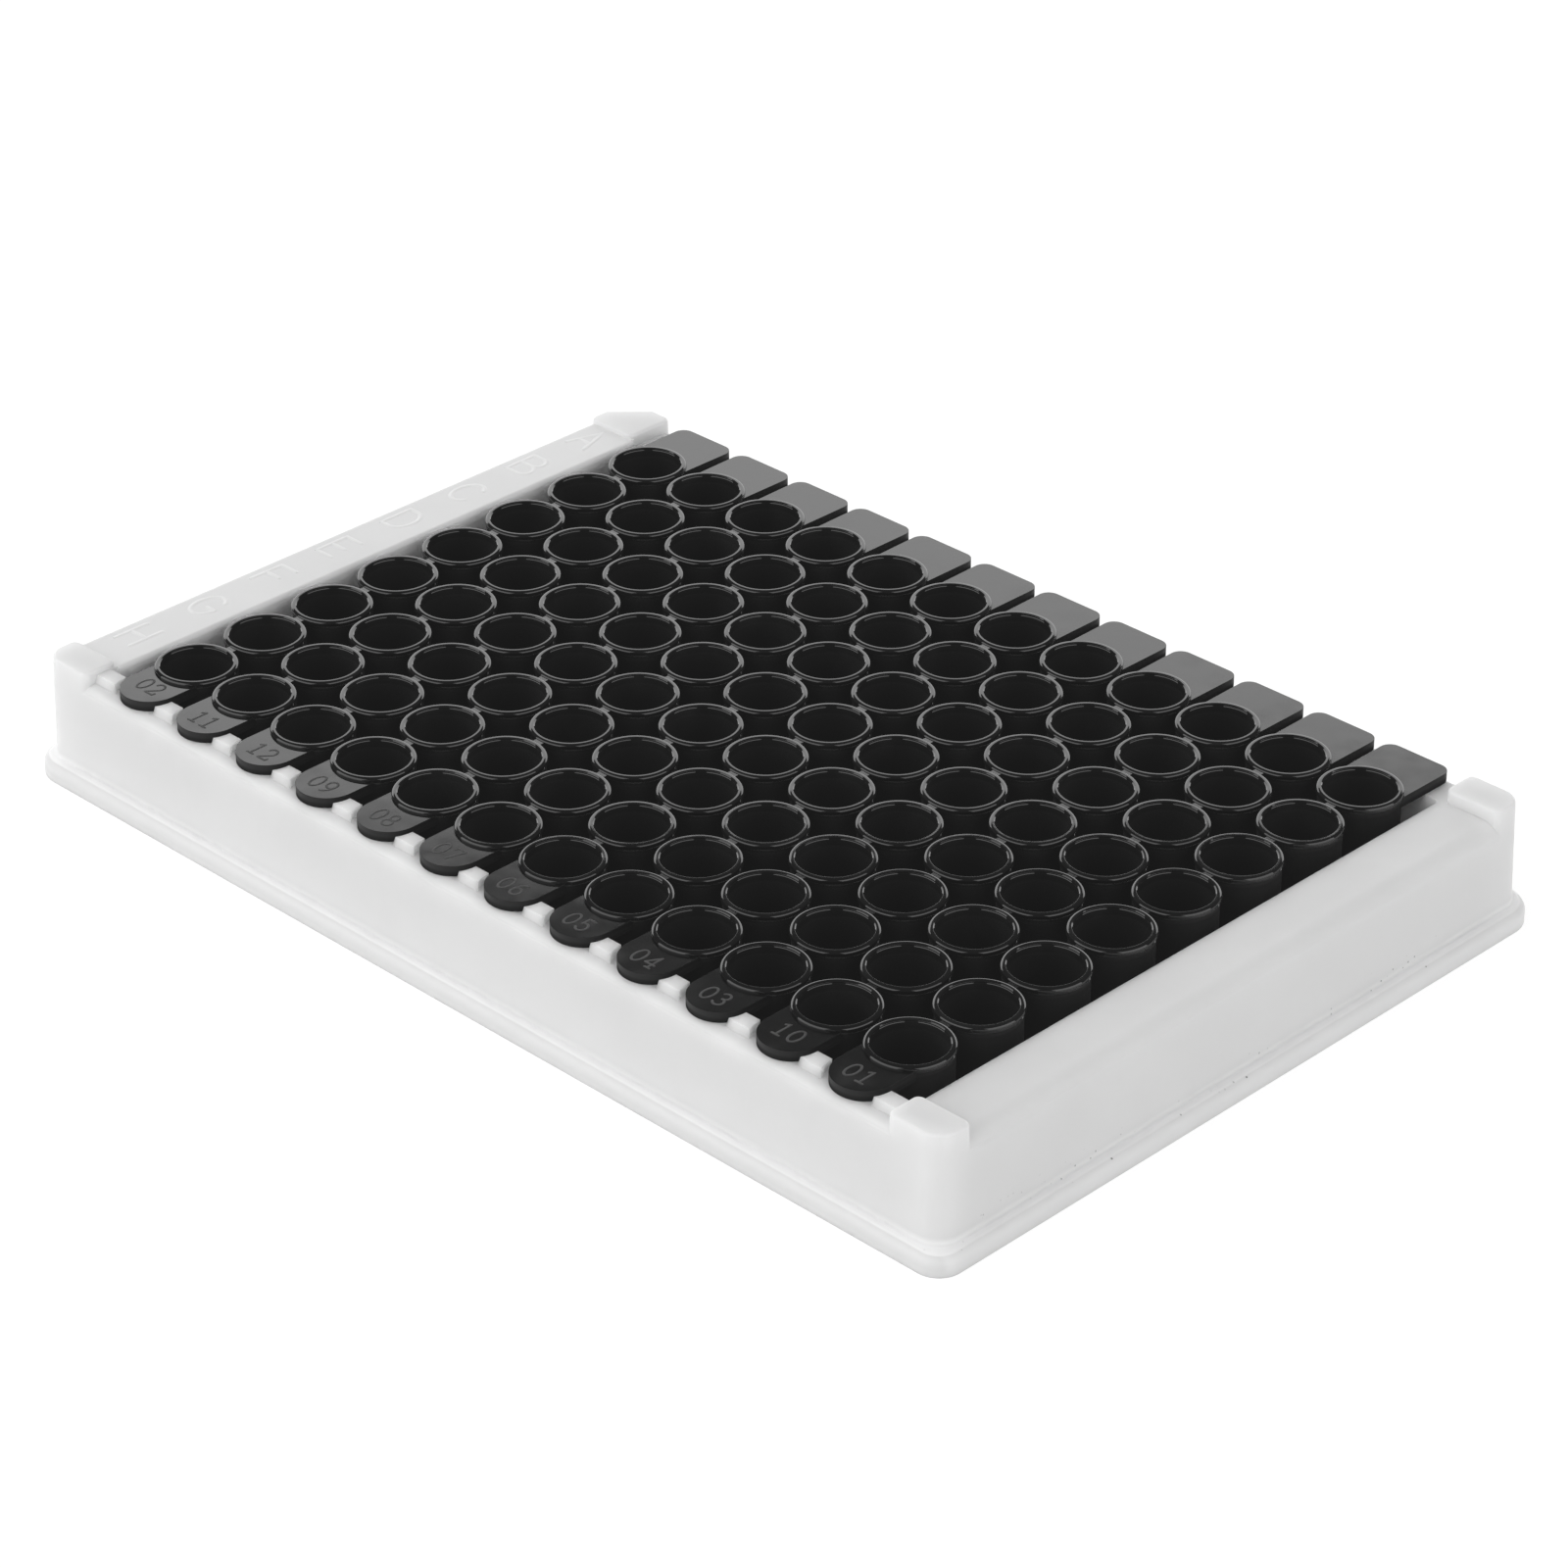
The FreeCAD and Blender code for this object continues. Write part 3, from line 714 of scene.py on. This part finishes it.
@dataclass
class Carrier:
    """The white frame: skirt, wall, ledges, rails, corner blocks and posts, with its row letters."""

    node: str = "strip_frame"
    rail_top: float = 12.88
    rail_inner: float = -54.0
    rail_edge: float = -55.15
    rail_rounding: float = 0.6
    rail_segments: int = 4
    pick_margin: float = 0.11
    edge: float = 0.11
    edge_segments: int = 2
    edge_angle: float = 40.0
    flat_angle: float = 0.4
    crease: float = 28.0
    letter_middle: float = -59.1
    letter_lift: float = 0.4
    letter_crease: float = 50.0
    lettering: Lettering = Lettering(width=2.7, height=4.2, stroke=0.55, rise=0.06, fullness=1.0)

    def build(self, finishes: list[bpy.types.Material]) -> None:
        """Builds and dresses every piece of the carrier.

        Args:
            finishes: the carrier's own, the denser one of the lettered rail's top, and that of the letters,
                painted paler as a painted highlight.
        """
        plastic, rail_plastic, letter_plastic = finishes
        self._shell(plastic, rail_plastic)
        self._letters(letter_plastic)

    def _shell(self, plastic: bpy.types.Material, rail_plastic: bpy.types.Material) -> None:
        """The solid's own surface, merged into clean faces, with its sharp edges broken.

        The faces of the lettered rail's top are those whose middle lies at its height, left of the rail's
        inner side.

        Args:
            plastic: the finish of the whole.
            rail_plastic: the finish of the lettered rail's top.
        """
        mesh = self._clean_copy("carrier_shell")
        mesh.materials.append(plastic)
        mesh.materials.append(rail_plastic)
        middles = np.empty(3 * len(mesh.polygons))
        mesh.polygons.foreach_get("center", middles)
        across, _, height = middles.reshape(-1, 3).T / MM
        top = (np.abs(height - self.rail_top) < self.pick_margin) & (across < self.rail_inner)
        mesh.polygons.foreach_set("material_index", top.astype(np.int32))
        self._weigh_rail_edge(mesh)
        piece = place_mesh("carrier_shell", mesh, self.crease)
        soften = piece.modifiers.new("rail_edge", "BEVEL")
        soften.width = self.rail_rounding * MM
        soften.segments = self.rail_segments
        soften.limit_method = "WEIGHT"
        soften.harden_normals = True
        break_edges(piece, self.edge, self.edge_angle, self.edge_segments)
        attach(piece, BODY)
        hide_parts(self.node)

    def _clean_copy(self, name: str) -> bpy.types.Mesh:
        """Copies the solid's mesh, with its triangles merged into flat faces.

        Args:
            name: the new mesh's name.

        Returns:
            The mesh, in metres.
        """
        work = bmesh.new()
        work.from_mesh(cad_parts[self.node].data)
        bmesh.ops.remove_doubles(work, verts=work.verts, dist=SOLID_WELD)
        bmesh.ops.dissolve_limit(
            work, angle_limit=math.radians(self.flat_angle), verts=work.verts, edges=work.edges
        )
        work.verts.index_update()
        corners = [tuple(vert.co) for vert in work.verts]
        faces = [tuple(vert.index for vert in face.verts) for face in work.faces]
        work.free()
        mesh = bpy.data.meshes.new(name)
        mesh.from_pydata(corners, [], faces)
        return mesh

    def _weigh_rail_edge(self, mesh: bpy.types.Mesh) -> None:
        """Marks the inner top edge of the lettered rail, which is rounder than the others.

        Args:
            mesh: the carrier's mesh.
        """
        places = np.empty(3 * len(mesh.vertices))
        mesh.vertices.foreach_get("co", places)
        across, _, height = places.reshape(-1, 3).T / MM
        away = np.maximum(np.abs(across - self.rail_edge), np.abs(height - self.rail_top))
        ends = np.empty(2 * len(mesh.edges), dtype=np.int32)
        mesh.edges.foreach_get("vertices", ends)
        weight = (away < self.pick_margin)[ends.reshape(-1, 2)].all(1).astype(np.float32)
        mesh.attributes.new("bevel_weight_edge", "FLOAT", "EDGE").data.foreach_set("value", weight)
        log.info("rail edge: %d edges", int(weight.sum()))

    def _letters(self, plastic: bpy.types.Material) -> None:
        """The raised row letters on the left rail, one beside each row of wells.

        Args:
            plastic: their finish, painted paler as a painted highlight.
        """
        shell = Shell()
        for number, letter in enumerate(ROWS):
            along = ((len(ROWS) - 1) / 2 - number) * PITCH + self.letter_lift
            self.lettering.write(shell, letter, (self.letter_middle, along), self.rail_top)
        piece = shell.make("row_letters", [plastic], self.letter_crease)
        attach(piece, BODY)


# ---------------------------------------------------------------- the strips


class StripFinish(IntEnum):
    """The strips' finishes, numbered as their materials are."""

    GLOSS = 0
    FROST = 1
    MATT = 2
    RIM = 3


@dataclass
class Strip:
    """One black strip: eight cups, the plates between them, two end tabs and its number."""

    number: int
    label: str
    rim_top: float = 13.5
    rim_radius: float = 4.27
    bore_radius: float = 3.6
    body_radius: float = 4.09
    rim_depth: float = 0.55
    rim_flare: float = 0.2
    well_depth: float = 10.5
    floor_thickness: float = 1.0
    web_half: float = 0.55
    web_top: float = 13.3
    web_height: float = 7.3
    tab_bottom: float = 12.0
    tab_top: float = 13.1
    front_tab_radius: float = 3.2
    front_tab_centre: float = -37.3
    back_tab_half: float = 3.95
    back_tab_end: float = 40.85
    back_tab_corner: float = 1.3
    root_share: float = 0.999
    foot_edge: float = 0.3
    flare_edge: float = 0.15
    band_edge: float = 0.06
    rim_edge: float = 0.30
    lip: tuple[Point, ...] = ((0.16, 0.0), (0.04, 0.11), (0.04, 0.22), (0.0, 0.29))
    lip_edge: float = 0.03
    bottom_edge: float = 0.35
    cup_edge_steps: int = 4
    cup_edge_margin: float = 0.02
    cup_sides: int = 72
    front_root_points: int = 25
    front_end_points: int = 49
    back_root_points: int = 33
    tab_corner_steps: int = 12
    tab_corner_margin: float = 0.05
    tab_edge: float = 0.08
    tab_edge_segments: int = 3
    tab_edge_angle: float = 60.0
    crease: float = 46.0
    number_middle: float = -37.95
    number_lift: float = 0.0
    digits: Lettering = Lettering(width=1.3, height=2.05, stroke=0.27, rise=0.035, advance=1.68)

    def build(self, finishes: list[bpy.types.Material]) -> None:
        """Builds the strip as one piece and puts it in its solid's place.

        Args:
            finishes: the materials, in the order of StripFinish.
        """
        shell = Shell()
        self._cups(shell)
        self._webs(shell)
        self._front_tab(shell)
        self._back_tab(shell)
        middle = (self._column(), self.number_middle + self.number_lift)
        self.digits.write(shell, self.label, middle, self.tab_top, StripFinish.FROST)
        piece = shell.make(f"strip_body_{self.number:02d}", finishes, self.crease)
        break_edges(piece, self.tab_edge, self.tab_edge_angle, self.tab_edge_segments)
        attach(piece, BODY)
        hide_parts(f"strip_{self.number:02d}")

    def _column(self) -> float:
        """The strip's place along X."""
        return (self.number - (COLUMNS + 1) / 2) * PITCH

    def _rows(self) -> np.ndarray:
        """Where the wells stand along Y, from the front."""
        return (np.arange(len(ROWS)) - (len(ROWS) - 1) / 2) * PITCH

    def _inside(self) -> float:
        """Radius of the middle of a cup's wall, where plates and tabs end out of sight."""
        return (self.body_radius + self.bore_radius) / 2

    def _cups(self, shell: Shell) -> None:
        """The cups: one rounded profile turned about each well's axis.

        A point of a cup is (x + r cos a, y + r sin a, z), where (r, z) runs along the profile and a goes
        round. The profile goes from the foot up the outside, over the rim and down the bore. Its rim is
        glossy, from the first point of its third corner to the last point of the lip's last one.

        Args:
            shell: the mesh that gets them.
        """
        floor = self.rim_top - self.well_depth
        band = self.rim_top - self.rim_depth
        lip = [(self.bore_radius + out, self.rim_top - down) for out, down in self.lip]
        outside = [
            (0, floor - self.floor_thickness),
            (self.body_radius, floor - self.floor_thickness),
            (self.body_radius, band - self.rim_flare),
            (self.rim_radius, band),
            (self.rim_radius, self.rim_top),
        ]
        profile = np.array(outside + lip + [(self.bore_radius, floor), (0, floor)])
        outer_edges = [0, self.foot_edge, self.flare_edge, self.band_edge, self.rim_edge]
        radii = np.array(outer_edges + [self.lip_edge] * len(lip) + [self.bottom_edge, 0])
        rounded = round_corners(profile, radii, self.cup_edge_steps, self.cup_edge_margin)
        per_corner = self.cup_edge_steps + 3
        matt_corners, rim_corners = 2, 2 + len(lip)
        first = 1 + matt_corners * per_corner
        last = (matt_corners + rim_corners) * per_corner
        angle = np.linspace(0, TURN, self.cup_sides, endpoint=False)
        ring = np.stack((np.cos(angle), np.sin(angle), np.zeros_like(angle)), axis=1)
        cup = rounded[:, None, :1] * ring[None] + rounded[:, None, 1:] * np.array([0, 0, 1.0])
        for along in self._rows():
            place = np.array([self._column(), along, 0])
            shell.add_grid(cup[: first + 1] + place, wrap=True, finish=StripFinish.MATT)
            shell.add_grid(cup[first : last + 1] + place, wrap=True, finish=StripFinish.RIM)
            shell.add_grid(cup[last:] + place, wrap=True, finish=StripFinish.MATT)

    def _webs(self, shell: Shell) -> None:
        """The upright plates between neighbouring cups, each a rectangle that ends inside the cups' walls.

        Args:
            shell: the mesh that gets them.
        """
        side = self.web_half
        bottom = self.web_top - self.web_height
        for along in self._rows()[:-1]:
            front, back = along + self._inside(), along + PITCH - self._inside()
            outline = np.array([(-side, front), (side, front), (side, back), (-side, back)])
            outline = outline + np.array([self._column(), 0])
            shell.add_prism(outline, bottom, self.web_top, StripFinish.GLOSS, StripFinish.GLOSS)

    def _root(self, half: float, row: float, way: int, points: int) -> np.ndarray:
        """A tab's inner end, which follows the end cup's curve inside its wall.

        Its point at angle a is (r sin a, row + way r cos a), where r is the radius of the wall's middle. The
        arc is as wide as the tab, or nearly as wide as the cup where the tab is wider.

        Args:
            half: half the tab's width.
            row: the end cup's place along Y.
            way: -1 for a tab in front of its cup and 1 for one behind.
            points: how many points it has.

        Returns:
            The points, x and y.
        """
        reach = math.asin(min(half / self._inside(), self.root_share))
        angle = np.linspace(-way * reach, way * reach, points)
        flat = (self._inside() * np.sin(angle), row + way * self._inside() * np.cos(angle))
        return np.stack(flat, axis=1)

    def _add_tab(self, shell: Shell, outline: np.ndarray) -> None:
        """Adds a tab from its outline, which is drawn about the strip's own middle line."""
        outline = outline + np.array([self._column(), 0])
        shell.add_prism(outline, self.tab_bottom, self.tab_top, StripFinish.MATT, StripFinish.GLOSS)

    def _front_tab(self, shell: Shell) -> None:
        """The round front tab: the root, then half a circle (c + r cos a, r sin a) that closes it.

        Args:
            shell: the mesh that gets it.
        """
        root = self._root(self.front_tab_radius, self._rows()[0], -1, self.front_root_points)
        angle = np.linspace(math.pi, TURN, self.front_end_points)
        end = self.front_tab_radius * np.stack((np.cos(angle), np.sin(angle)), axis=1)
        self._add_tab(shell, np.concatenate((root, end + np.array([0, self.front_tab_centre]))))

    def _back_tab(self, shell: Shell) -> None:
        """The square back tab: the root, then an end with two rounded corners.

        Args:
            shell: the mesh that gets it.
        """
        root = self._root(self.back_tab_half, self._rows()[-1], 1, self.back_root_points)
        side, end = self.back_tab_half, self.back_tab_end
        wall = np.array([root[-1], (side, end), (-side, end), root[0]])
        radii = np.array([0, self.back_tab_corner, self.back_tab_corner, 0])
        wall = round_corners(wall, radii, self.tab_corner_steps, self.tab_corner_margin)[1:-1]
        self._add_tab(shell, np.concatenate((root, wall)))


# ---------------------------------------------------------------- the studio


class Panel(Enum):
    """The soft lights: centre (m), point it faces (m), width and height (m), radiance (1 is white)."""

    BACK = ((-1.06, 1.06, 0.46), (0, 0, 0.46), (3.0, 0.92), 1.72)
    TOP = ((-0.45, -0.35, 1.25), (0, 0, 0.0), (2.2, 1.8), 0.83)
    FRONT = ((-0.5, -1.4, 0.75), (0, 0, 0.0), (2.6, 1.5), 1.6)
    RIGHT = ((1.6, 0.2, 0.75), (0, 0, 0.0), (2.4, 1.5), 1.55)


@dataclass
class Studio:
    """The floor, the lights, the world and the camera."""

    azimuth: float = 44.762
    elevation: float = 30.248
    distance: float = 495.31
    roll: float = -0.079
    target: tuple[float, float, float] = (1.813, 0.737, 7.0)
    focal_length: float = 114.824925
    sensor: float = 36.0
    far_limit: float = 20.0
    ambient: float = 0.08
    floor_half: float = 3000.0
    floor_height: float = -0.02
    floor_crease: float = 30.0
    floor_level: float = 0.66
    floor_sheen: float = 0.24
    shown_level: float = 0.28
    shown_glow: float = 0.82

    def build(self) -> None:
        """Sets up everything round the object."""
        self._floor()
        self._world()
        self._panels()
        self._camera()
        bpy.context.scene.view_settings.view_transform = "Standard"

    def _floor(self) -> None:
        """A plain pale floor, as a flat grid of four points.

        It lights the object as a pale surface does. To the camera, and in gloss and glass, it shows white and
        keeps the object's soft shadow.
        """
        line = np.array([-self.floor_half, self.floor_half])
        across, along = np.meshgrid(line, line)
        shell = Shell()
        shell.add_grid(np.stack((across, along, np.full_like(across, self.floor_height)), axis=2))
        material, shader = new_material("pale_floor")
        seen = shader.node("ShaderNodeLightPath", output="Is Camera Ray")
        seen = seen.most(shader.node("ShaderNodeLightPath", output="Is Glossy Ray"))
        seen = seen.most(shader.node("ShaderNodeLightPath", output="Is Transmission Ray"))
        plain = self._pale(shader, self.floor_level, self.floor_sheen)
        shown = self._pale(shader, self.shown_level, self.shown_glow)
        floor = shader.node("ShaderNodeMixShader", {0: seen, 1: plain, 2: shown})
        shader.node("ShaderNodeOutputMaterial", {"Surface": floor})
        shell.make("floor", [material], self.floor_crease)

    def _pale(self, shader: Shader, level: float, glow: float) -> Value:
        """A matt surface of one grey that glows a little.

        Args:
            shader: the tree that gets it.
            level: its grey.
            glow: strength of its own light.

        Returns:
            The surface.
        """
        matt = shader.node("ShaderNodeBsdfDiffuse", {"Color": grey(level)})
        light = shader.node("ShaderNodeEmission", {"Color": grey(1.0), "Strength": glow})
        return shader.node("ShaderNodeAddShader", {0: matt, 1: light})

    def _world(self) -> None:
        """An even, soft surround."""
        world = bpy.data.worlds.new("soft_surround")
        world.use_nodes = True
        shader = Shader(world.node_tree)
        light = shader.node("ShaderNodeBackground", {"Color": grey(1.0), "Strength": self.ambient})
        shader.node("ShaderNodeOutputWorld", {"Surface": light})
        bpy.context.scene.world = world

    def _panels(self) -> None:
        """The soft lights, each a rectangle that isn't seen directly. Only the top one leaves no gloss."""
        for panel in Panel:
            place, aim, size, radiance = panel.value
            light = bpy.data.lights.new(f"panel_{panel.name.lower()}", "AREA")
            light.shape = "RECTANGLE"
            light.size, light.size_y = size
            light.energy = radiance * math.pi * size[0] * size[1]
            lamp = bpy.data.objects.new(light.name, light)
            lamp.location = place
            lamp.rotation_euler = (Vector(aim) - Vector(place)).to_track_quat("-Z", "Y").to_euler()
            lamp.visible_camera = False
            lamp.visible_glossy = panel is not Panel.TOP
            bpy.context.scene.collection.objects.link(lamp)

    def _camera(self) -> None:
        """The camera, turned about its own axis by the roll.

        It stands at the distance from its target, in the direction (sin a cos e, -cos a cos e, sin e) for the
        azimuth a and the elevation e.
        """
        azimuth, elevation, roll = (
            math.radians(angle) for angle in (self.azimuth, self.elevation, self.roll)
        )
        back = Vector(
            (
                math.sin(azimuth) * math.cos(elevation),
                -math.cos(azimuth) * math.cos(elevation),
                math.sin(elevation),
            )
        )
        level = Vector((math.cos(azimuth), math.sin(azimuth), 0))
        upright = back.cross(level)
        right = math.cos(roll) * level + math.sin(roll) * upright
        up = math.cos(roll) * upright - math.sin(roll) * level
        turn = Matrix((right, up, back)).transposed().to_4x4()
        lens = bpy.data.cameras.new("camera")
        lens.sensor_width = self.sensor
        lens.lens = self.focal_length
        lens.clip_end = self.far_limit
        camera = bpy.data.objects.new("camera", lens)
        place = (Vector(self.target) + back * self.distance) * MM
        camera.matrix_world = Matrix.Translation(place) @ turn
        bpy.context.scene.collection.objects.link(camera)
        bpy.context.scene.camera = camera


# ---------------------------------------------------------------- the whole plate


@dataclass
class WellPlate:
    """The carrier and its strips. The strips stand in the order in which they were put back."""

    labels: tuple[str, ...] = ("02", "11", "12", "09", "08", "07", "06", "05", "04", "03", "10", "01")
    number_lifts: dict[str, float] = field(default_factory=lambda: {"02": 0.55, "10": 0.35})

    def build(self) -> None:
        """Builds the carrier, then each strip."""
        carrier_finishes = (
            CarrierPlastic(),
            CarrierPlastic("white_rail_plastic", translucency=0.0),
            # painted highlight: the letters are painted paler than the rail, for the light that their raised
            # relief catches
            CarrierPlastic("letter_plastic_painted_highlight", level=0.86, shade=0.84, translucency=0.0),
        )
        Carrier().build([finish.make() for finish in carrier_finishes])
        strip_finishes = {
            StripFinish.GLOSS: StripPlastic(),
            StripFinish.FROST: FrostedPlastic(),
            StripFinish.MATT: StripPlastic("matt_strip_sides", roughness=0.5, specular=0.22),
            StripFinish.RIM: StripPlastic("glossy_strip_rims", roughness=0.04, rough_spread=0.03),
        }
        finishes = [strip_finishes[number].make() for number in StripFinish]
        for number, label in enumerate(self.labels, start=1):
            Strip(number, label, number_lift=self.number_lifts.get(label, 0.0)).build(finishes)


def main() -> None:
    """Builds the plate and the studio."""
    logging.basicConfig(level=logging.INFO, format="%(name)s: %(message)s")
    WellPlate().build()
    Studio().build()


if __name__ == "__main__":
    main()
